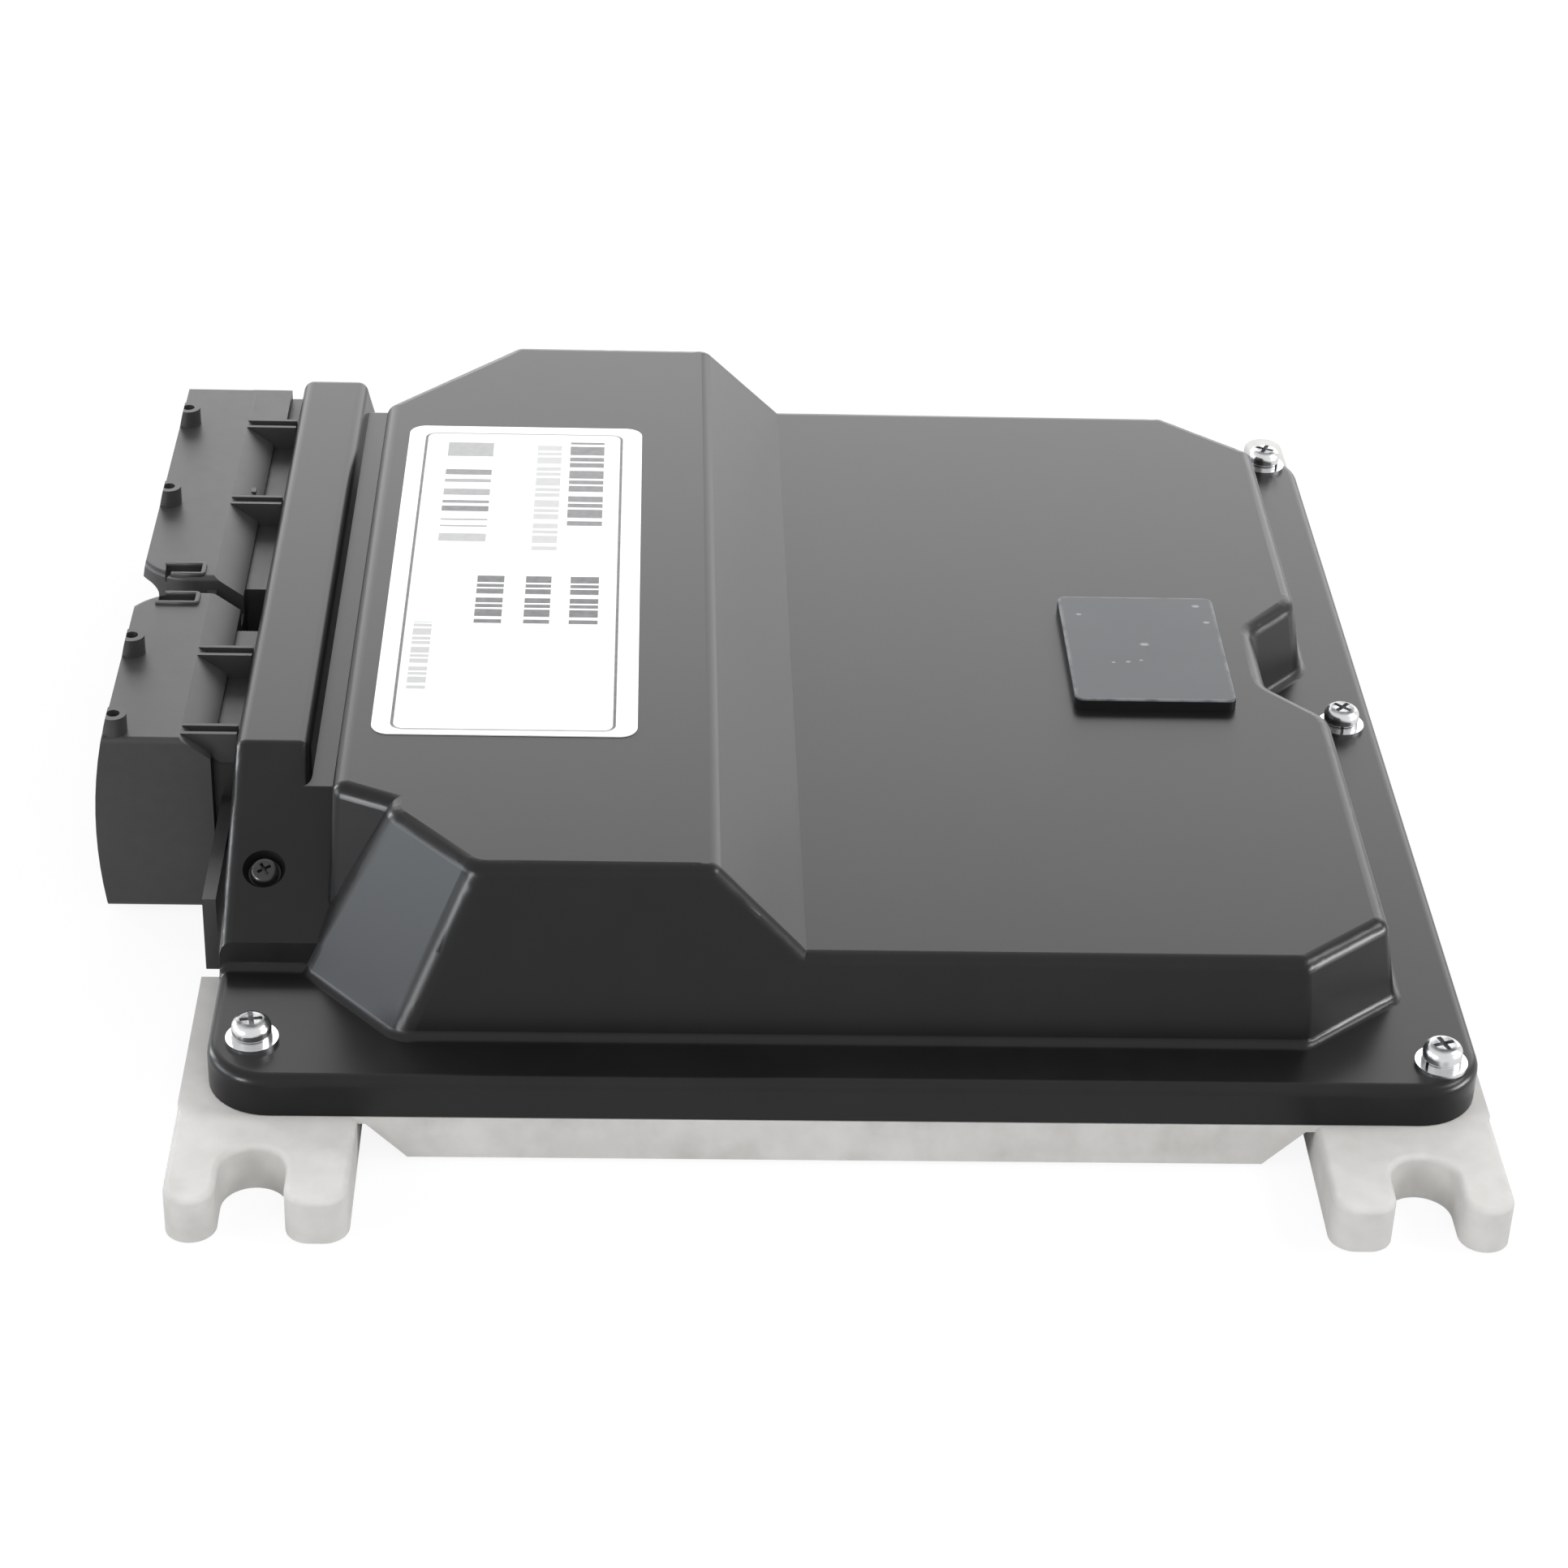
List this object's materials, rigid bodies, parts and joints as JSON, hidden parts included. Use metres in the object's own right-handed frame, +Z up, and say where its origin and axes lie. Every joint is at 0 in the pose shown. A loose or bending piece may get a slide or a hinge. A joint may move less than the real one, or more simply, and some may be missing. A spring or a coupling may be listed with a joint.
{
  "type": "engine control unit",
  "caption": "Flat engine control unit: cast metal tray with slotted feet, black pressed cover with stepped levels, side connector sockets.",
  "frame": {"origin": "middle of the unit's footprint, at the undersides of the feet", "axes": "+Z up through the cover, +Y towards the rear feet, +X away from the connector sockets, which face -X"},
  "size_m": [0.2668, 0.308, 0.0522],
  "materials": {
    "cast_metal": "raw die-cast, fine grain",
    "black_paint": "satin black powder coat",
    "zinc": "bright zinc plate",
    "dark_screw": "black",
    "header_plastic": "dark grey glass-filled moulding",
    "seal_rubber": "matt",
    "tin": "tin plated",
    "board": "solder mask over laminate",
    "chip_body": "moulded compound",
    "can": "drawn can",
    "ferrite": "sintered",
    "capacitor_body": "fired",
    "thermal_soft": "soft pad",
    "label_film": "printed film",
    "pad_soft": "matt soft pad"
  },
  "bodies": {
    "root": {"base_casting": "cast_metal", "top_cover": "black_paint", "cover_gasket": "seal_rubber", "cover_screws": "zinc", "spring_washers": "zinc", "flat_washers": "zinc", "slope_screw": "dark_screw", "connector_header": "header_plastic", "header_seals": "seal_rubber", "signal_pins": "tin", "power_blades": "tin", "circuit_board": "board", "board_screws": "zinc", "main_processor": "chip_body", "memory_chips": "chip_body", "driver_chips": "chip_body", "power_transistors": "chip_body", "filter_capacitors": "can", "power_inductors": "ferrite", "clock_crystal": "can", "shunt_resistors": "ferrite", "ceramic_capacitors": "capacitor_body", "thermal_pad": "thermal_soft", "label_sticker": "label_film", "cover_pad": "pad_soft"}
  },
  "joints": []
}
